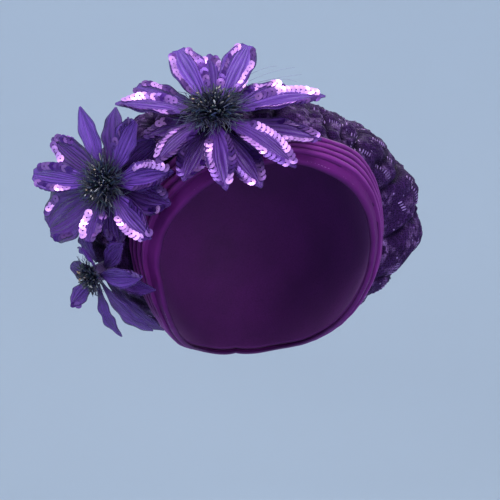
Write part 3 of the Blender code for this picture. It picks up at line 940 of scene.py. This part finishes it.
leaf = dict(                                # cloth of every petal
    columns=56, rows=36, steps=12, cadWall=0.0010, wall=0.00045, cup=0.24,
    pleats=(7.5, 10.5), pleatDepth=0.058,   # broad pleats, deep as a share of the half breadth
    pleatCrest=0.75, pleatStray=0.5,        # below 1, broad crests; how far the pleats wander
    widestPleat=0.010,                      # half breadth past which pleats get no deeper
    lowerShade=0.42,                        # how much painted shade the lower layer gets, lying under the upper
    fold=0.10, foldWidth=0.16,              # valley along the middle, same share
    ruffle=0.0011, ruffleBreadth=0.010,     # height of the edges' waves, and at which half breadth
    ruffles=3.4,                            # waves from root to tip
    twist=7,                                # degrees, at most, from root to tip
    ease=1.12,                              # cloth taken up by the pleats
)


def flowerFrame(flower):
    heading, tilt = radians(flower["heading"]), radians(flower["tilt"])
    facing = Vector((sin(heading) * cos(tilt), -cos(heading) * cos(tilt),
                     sin(tilt)))
    right = Vector((0, 0, 1)).cross(facing).normalized()
    seat = plainDrape(flower["turn"], flower["way"], walls["drape"] / 2)
    return dict(right=right, up=facing.cross(right), facing=facing,
                middle=seat + facing * flower["stand"])


def spoke(place, angle):
    # direction in the flower's own plane
    return place["right"] * cos(angle) + place["up"] * sin(angle)


def petalSpine(petal, length):
    # distance out, height and slope along the middle of a petal
    steps = leaf["steps"]
    out = hub["radius"] + walls["gap"] + leaf["cadWall"] / 2
    height = hub[petal["layer"]]
    line = dict(along=[0.0], out=[out], height=[height], slope=[petal["lift"]])
    for i in range(steps):
        slope = radians(petal["lift"] - petal["droop"] * (i + 0.5) / steps)
        out += length / steps * cos(slope)
        height += length / steps * sin(slope)
        line["along"].append((i + 1) / steps)
        line["out"].append(out)
        line["height"].append(height)
        line["slope"].append(petal["lift"] - petal["droop"] * (i + 1) / steps)
    return line


def petalSection(place, flower, petal, spine, along):
    # what one cross-section of a petal needs
    angle = radians(petal["turn"])
    outward = spoke(place, angle)
    sideways = place["up"] * cos(angle) - place["right"] * sin(angle)
    slope = radians(read(spine, along, "slope"))
    face = place["facing"] * cos(slope) - outward * sin(slope)
    twist = radians(petal["twist"]) * along
    middle = (place["middle"] + outward * read(spine, along, "out")
              + place["facing"] * read(spine, along, "height"))
    breadth = petal["width"] * flower["width"] / 2 * read(outlines[petal["tip"]], along, "breadth")
    return dict(middle=middle, breadth=breadth, along=along,
                sideways=sideways * cos(twist) + face * sin(twist),
                face=face * cos(twist) - sideways * sin(twist))


def petalPleat(petal, across, along):
    # 1 on the crest of a pleat and 0 in the sharper valley beside it
    wander = leaf["pleatStray"] * sin(petal["phase"] + 3.6 * across + 2.3 * along)
    return abs(cos(pi * (petal["pleats"] / 2 * across + wander))) ** leaf["pleatCrest"]


def petalPoint(section, petal, across):
    breadth, along = section["breadth"], section["along"]
    # the pleats fade at the edges, a little at the root and fully at the tip
    window = (1 - across ** 6) * sin(pi * min(1.0, 0.12 + 0.88 * along)) ** 0.4
    pleat = 2 * petalPleat(petal, across, along) - 1
    height = leaf["cup"] * breadth * across ** 2
    height += leaf["pleatDepth"] * min(breadth, leaf["widestPleat"]) * window * pleat
    height -= leaf["fold"] * breadth * exp(-(across / leaf["foldWidth"]) ** 2)
    wave = sin(2 * pi * leaf["ruffles"] * along + petal["phase"] + 2.2 * across)
    wave *= abs(across) ** 3 * min(1.0, 2 * along)
    height += leaf["ruffle"] * wave * breadth / leaf["ruffleBreadth"]
    return section["middle"] + section["sideways"] * breadth * across + section["face"] * height


def makePetal(name, place, flower, petal):
    length, width = petal["length"] * flower["length"], petal["width"] * flower["width"]
    spine = petalSpine(petal, length)
    rows, tones, grooves, area, ease = [], [], [], 0.0, leaf["ease"]
    acrosses = [2 * share - 1 for share in shares(leaf["columns"])]
    for along in shares(leaf["rows"]):
        section = petalSection(place, flower, petal, spine, along)
        rows.append([petalPoint(section, petal, across) for across in acrosses])
        tones.append([petal["tone"]] * len(acrosses))
        grooves.append([petalPleat(petal, across, along) for across in acrosses])
        area += 2 * section["breadth"] * length / (leaf["rows"] + 1)
    mesh = clothMesh(name, rows, dict(tone=tones, groove=grooves))
    piece = addPiece(name, mesh, finishes["organza"], leaf["wall"])
    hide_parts(name.replace("_leaf_", "_petal_"))
    cut = min(area * ease, width * length * ease)
    width * ease
    return spine


chain = dict(                               # sequins along a petal's edge
    across=0.75,                            # share of the half breadth, less where that is narrow:
    margin=0.0012, least=0.0013,            # this far from the edge, down to this half breadth
    # of the two chain tones, the darker is the film's own and the paler a painted glint
    steps=240, end=0.94, pitch=0.0031, lift=0.0008, shingle=10, dim=0.10, glint=0.86, mix=0.14,
    ahead=0.01, inside=0.86,                # where the slopes beside a sequin are read
)


def chainPoints(place, flower, petal, spine, draw):
    # sequins in a row along both edges, each lapped over the next; stretches of a chain get a painted
    # glint, the rest the film's own dark colour
    points = []
    shingle, steps = radians(chain["shingle"]), chain["steps"]
    first, past = int(flower["sequins"][petal["layer"]] * steps), int(chain["end"] * steps)
    for side, lit in ((1, petal["onward"]), (-1, petal["before"])):
        if lit is None:
            continue
        last = None
        for i in range(first, past):
            along = i / steps
            section = petalSection(place, flower, petal, spine, along)
            edge = 1 - chain["margin"] / max(section["breadth"], chain["least"])
            across = side * min(chain["across"], edge)
            at = petalPoint(section, petal, across)
            if last is not None and (at - last).length < chain["pitch"]:
                continue
            last = at
            further = petalSection(place, flower, petal, spine, along + chain["ahead"])
            beyond = petalPoint(further, petal, across)
            inward = petalPoint(section, petal, across * chain["inside"])
            onward = (beyond - at).normalized()
            aim = onward.cross(inward - at).normalized()
            if aim.dot(section["face"]) < 0:
                aim = -aim
            lean = aim * cos(shingle) - onward * sin(shingle)
            # painted glint where the table puts light on the chain
            tone = chain["glint" if lit and lit[0] <= along <= lit[1] else "dim"]
            tone += draw.uniform(-1, 1) * chain["mix"]
            points.append(dict(at=at + aim * chain["lift"], aim=lean, side=onward, size=(1, 1, 1),
                               tone=clamped(tone)))
    return points


tuft = dict(
    widest=88, reach=(0.60, 1.14), peak=0.74, golden=2.39996, jitter=0.09, stray=0.3, bend=0.22,
    foot=0.55, arch=0.10, thread=0.00022, segments=4,
    beads=(0.36, 0.60, 0.86), beadStray=0.07, beadShare=0.24, beadLengths=(0.7, 1.3),
    fringeShare=0.39, fringeFrom=74, fringeReach=(1.05, 1.50),      # thin fibres over the petals
    fringeBend=0.35, fringeThread=0.75,
    tips=13, tipWithin=42, tipReach=0.98, tipStray=0.6, tipBend=0.1, tipLean=1.2,
    tipGirths=(0.6, 1.2), tipLengths=(1.5, 3.0),
)


def makeTuft(name, place, flower, seed):
    # filaments that fan out from the hub, each strung with tube beads, pale beads among the inner ones
    draw = random.Random(seed)
    base = place["middle"] + place["facing"] * (hub["top"] + walls["gap"])

    def fibre(polar, around, reach, bend):
        # the fibre's curve, and its direction in the flower's plane
        beside = spoke(place, around)
        end = beside * reach * sin(polar) + place["facing"] * reach * tuft["peak"] * cos(polar)
        sag = beside.cross(place["facing"]) * draw.uniform(-bend, bend) * reach
        foot = base + beside * hub["radius"] * tuft["foot"] * sin(polar)
        span = base + end - foot
        rise = place["facing"] * tuft["arch"] * reach + sag

        def along(t):
            return foot + span * t + rise * sin(pi * t) * t

        return along, beside

    def strand(along):
        return [along(t) for t in shares(tuft["segments"])]

    inner, fringe, tubes, tips = [], [], [], []
    spread = 1 - cos(radians(tuft["widest"]))
    for i in range(flower["filaments"]):
        polar = acos(1 - spread * (i + 0.5) / flower["filaments"])
        polar += draw.uniform(-tuft["jitter"], tuft["jitter"])
        reach = flower["tuft"] * draw.uniform(*tuft["reach"])
        around = tuft["golden"] * i + draw.uniform(-tuft["stray"], tuft["stray"])
        along, beside = fibre(polar, around, reach, tuft["bend"])
        inner.append(strand(along))
        for t in tuft["beads"]:
            t += draw.uniform(-tuft["beadStray"], tuft["beadStray"])
            aim = (along(t + 0.02) - along(t - 0.02)).normalized()
            tubes.append(dict(at=along(t), aim=aim, side=beside,
                              size=(1, 1, draw.uniform(*tuft["beadLengths"])), tone=draw.random()))
    for i in range(round(flower["filaments"] * tuft["fringeShare"])):
        polar = radians(draw.uniform(tuft["fringeFrom"], tuft["widest"]))
        reach = flower["tuft"] * draw.uniform(*tuft["fringeReach"])
        fringe.append(strand(fibre(polar, tuft["golden"] * i, reach, tuft["fringeBend"])[0]))
    for i in range(tuft["tips"]):
        polar = radians(tuft["tipWithin"] * sqrt((i + 0.5) / tuft["tips"]))
        around = tuft["golden"] * i + draw.uniform(-tuft["tipStray"], tuft["tipStray"])
        along, beside = fibre(polar, around, flower["tuft"] * tuft["tipReach"], tuft["tipBend"])
        lean = beside * draw.uniform(-tuft["tipLean"], tuft["tipLean"])
        aim = (along(1.0) - along(0.9)).normalized() + lean
        girth = draw.uniform(*tuft["tipGirths"])
        tips.append(dict(at=along(tuft["tipReach"]), aim=aim.normalized(), side=beside,
                         tone=draw.random(),
                         size=(girth, girth, girth * draw.uniform(*tuft["tipLengths"]))))

    filaments = addThreads(name + "_filaments", inner, "bead_tuft", {"Radius": tuft["thread"]})
    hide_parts(name + "_centre")
    addThreads(name + "_fringe", fringe, "bead_tuft", {
        "Radius": tuft["thread"] * tuft["fringeThread"], "Material": finishes["fringe"]})
    trees["bugle"].add(name + "_bugles", pointCarrier(tubes), "bead_tuft", {
        "Length": flower["tuft"] * tuft["beadShare"], "Seed": seed}, crisp=True)
    trees["round"].add(name + "_tips", pointCarrier(tips), "bead_tuft", {"Seed": seed + 1})


strays = dict(                              # in the plane of the top flower: angle and distance out
    lines=[((44, 0.036), (33, 0.052), (25, 0.058)), ((52, 0.034), (44, 0.050), (38, 0.064)),
           ((48, 0.030), (36, 0.046), (30, 0.064)), ((60, 0.036), (51, 0.050), (47, 0.056))],
    thread=0.00011, lift=(0.010, 0.013, 0.011), steps=8,
)


def makeStrays(name, place):
    # a few threads pulled out of the cloth, each a curve that bends towards its middle point
    strands = []
    for line in strays["lines"]:
        start, middle, end = [
            place["middle"] + spoke(place, radians(turn)) * out + place["facing"] * lift
            for (turn, out), lift in zip(line, strays["lift"])]
        strands.append([start * (1 - t) ** 2 + middle * 2 * t * (1 - t) + end * t ** 2
                        for t in shares(strays["steps"])])
    addThreads(name + "_strays", strands, "petal_organza", {
        "Radius": strays["thread"], "Material": finishes["stray"]})


def makeStem(name, place):
    # wound cloth stem from its foot on the drape up through the petals
    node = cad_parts[name + "_base"]
    heights = [(vert.co - place["middle"]).dot(place["facing"]) for vert in node.data.vertices]
    low, high = min(heights), max(heights)
    rows = []
    for level in shares(hub["levels"]):
        axis = place["middle"] + place["facing"] * (low + (high - low) * level)
        row = []
        for j in range(hub["sides"]):
            angle = 2 * pi * j / hub["sides"]
            wind = cos(angle - 2 * pi * hub["turns"] * level)
            row.append(axis + spoke(place, angle) * (hub["radius"] - hub["ridge"] * (1 + wind) / 2))
        rows.append(row)
    mesh = clothMesh(name + "_stem", rows, closed=True, filled=True)
    piece = addPiece(name + "_stem", mesh, finishes["stem"])
    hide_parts(name + "_base")


def makeFlower(name, seed):
    draw = random.Random(seed)
    flower = flowers[name]
    place = flowerFrame(flower)
    makeStem(name, place)
    chains = []
    for number, facts in enumerate(petals[name], start=1):
        petal = dict(zip(petalFacts, facts), phase=draw.uniform(0, 6.28),
                     tone=draw.uniform(*flower["tone"]), twist=draw.uniform(-1, 1) * leaf["twist"],
                     pleats=draw.uniform(*leaf["pleats"]))
        # painted shade: petals that point down, and the lower layer, are darker
        petal["tone"] += flower["downwardShade"] * (1 - sin(radians(petal["turn"]))) / 2
        if petal["layer"] == "lower":
            petal["tone"] += leaf["lowerShade"]
        spine = makePetal(f"{name}_leaf_{number:02d}", place, flower, petal)
        chains += chainPoints(place, flower, petal, spine, draw)
    trees["sequin"].add(name + "_sequins", pointCarrier(chains), "petal_organza", {"Seed": seed},
                        crisp=True)
    makeTuft(name, place, flower, seed + 50)
    print(name, "made,", len(petals[name]), "petals and", len(chains), "sequins")


for index, flowerName in enumerate(flowers):
    makeFlower(flowerName, 100 + index)
makeStrays("top_flower", flowerFrame(flowers["top_flower"]))


# stage: a pale round floor that curves up all round, and soft light

stage = dict(level=-0.60, radius=2.6, curve=0.9, curveSteps=12, wall=2.0, sides=96,
             colour=(0.585, 0.672, 0.762), mottle=0.94)


def makeStage():
    profile = [(0.0, stage["level"]), (stage["radius"] - stage["curve"], stage["level"])]
    for i in range(1, stage["curveSteps"] + 1):
        angle = pi / 2 * i / stage["curveSteps"]
        profile.append((stage["radius"] - stage["curve"] * (1 - sin(angle)),
                        stage["level"] + stage["curve"] * (1 - cos(angle))))
    profile.append((stage["radius"], stage["level"] + stage["wall"]))
    angles = [2 * pi * j / stage["sides"] for j in range(stage["sides"])]
    rows = [[Vector((out * cos(angle), out * sin(angle), level)) for angle in angles]
            for out, level in reversed(profile)]
    mesh = clothMesh("floor", rows, closed=True, endPole=True)
    mesh.flip_normals()
    f = Finish("floor_paper", {"Roughness": 0.9, "Specular IOR Level": 0.2})
    f.give("Base Color", f.blend(f.speckle(f.place(), 1.5, 2), stage["colour"],
                                 tuple(c * stage["mottle"] for c in stage["colour"])))
    mesh.materials.append(f.material)
    mesh.shade_smooth()
    floor = addObject("floor", mesh)


lights = dict(
    key=dict(at=(-0.25, -0.85, 0.95), size=0.9, power=19, colour=(1.0, 0.97, 1.0)),
    side=dict(at=(-1.25, -0.55, 0.25), size=0.8, power=4, colour=(0.95, 0.95, 1.0)),
    front=dict(at=(0.45, -1.7, 0.10), size=1.2, power=13, colour=(1.0, 0.97, 0.98)),
    back=dict(at=(0.7, 0.9, 0.8), size=0.7, power=6, colour=(0.95, 0.97, 1.0)),
)
sky = dict(colour=(0.80, 0.87, 1.0), strength=0.68)


def makeLights():
    middle = Vector(photoView["headMiddle"])
    for name, facts in lights.items():
        data = bpy.data.lights.new(name, "AREA")
        data.shape = "DISK"
        data.size = facts["size"]
        data.energy = facts["power"]
        data.color = facts["colour"]
        light = addObject(name, data)
        light.location = facts["at"]
        light.rotation_euler = (Vector(facts["at"]) - middle).to_track_quat("Z", "Y").to_euler()
    world = bpy.data.worlds.new("studio")
    bpy.context.scene.world = world
    world.use_nodes = True
    background = world.node_tree.nodes["Background"]
    background.inputs["Color"].default_value = (*sky["colour"], 1.0)
    background.inputs["Strength"].default_value = sky["strength"]
    bpy.context.scene.view_settings.view_transform = "Standard"     # plain colours, as in the picture


makeStage()
makeLights()
print("stage and lights made")
